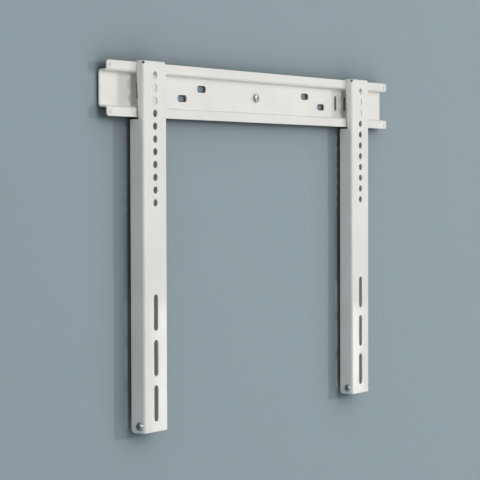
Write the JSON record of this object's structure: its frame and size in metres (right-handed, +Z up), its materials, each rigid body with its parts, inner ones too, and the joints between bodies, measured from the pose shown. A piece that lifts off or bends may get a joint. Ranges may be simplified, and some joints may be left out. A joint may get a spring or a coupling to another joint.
{
  "type": "speaker wall bracket",
  "caption": "Wall bracket of folded sheet steel: upright channel arms with bolt holes and slots hook over a slotted hat-section rail and slide along it.",
  "frame": {"origin": "middle of the rail's back face, on the wall", "axes": "+X along the rail to the right as seen from the front, +Y into the wall, +Z up"},
  "size_m": [0.667, 0.0713, 0.437],
  "materials": {
    "white_powder_coat": "satin white powder coat",
    "zinc_plated_steel": "bright zinc plate"
  },
  "bodies": {
    "rail": {"wall_rail": "white_powder_coat", "wall_screw": "zinc_plated_steel"},
    "left_arm": {"left_arm": "white_powder_coat", "left_foot_screw": "zinc_plated_steel", "left_foot_sleeve": "zinc_plated_steel", "left_foot_nut": "zinc_plated_steel"},
    "right_arm": {"right_arm": "white_powder_coat", "right_foot_screw": "zinc_plated_steel", "right_foot_sleeve": "zinc_plated_steel", "right_foot_nut": "zinc_plated_steel"}
  },
  "joints": [
    {"name": "left_arm_slide", "type": "slide", "parent": "rail", "child": "left_arm", "axis": [1, 0, 0], "range_m": [-0.0475, 0.2235]},
    {"name": "right_arm_slide", "type": "slide", "parent": "rail", "child": "right_arm", "axis": [1, 0, 0], "range_m": [-0.212, 0.0612]}
  ]
}
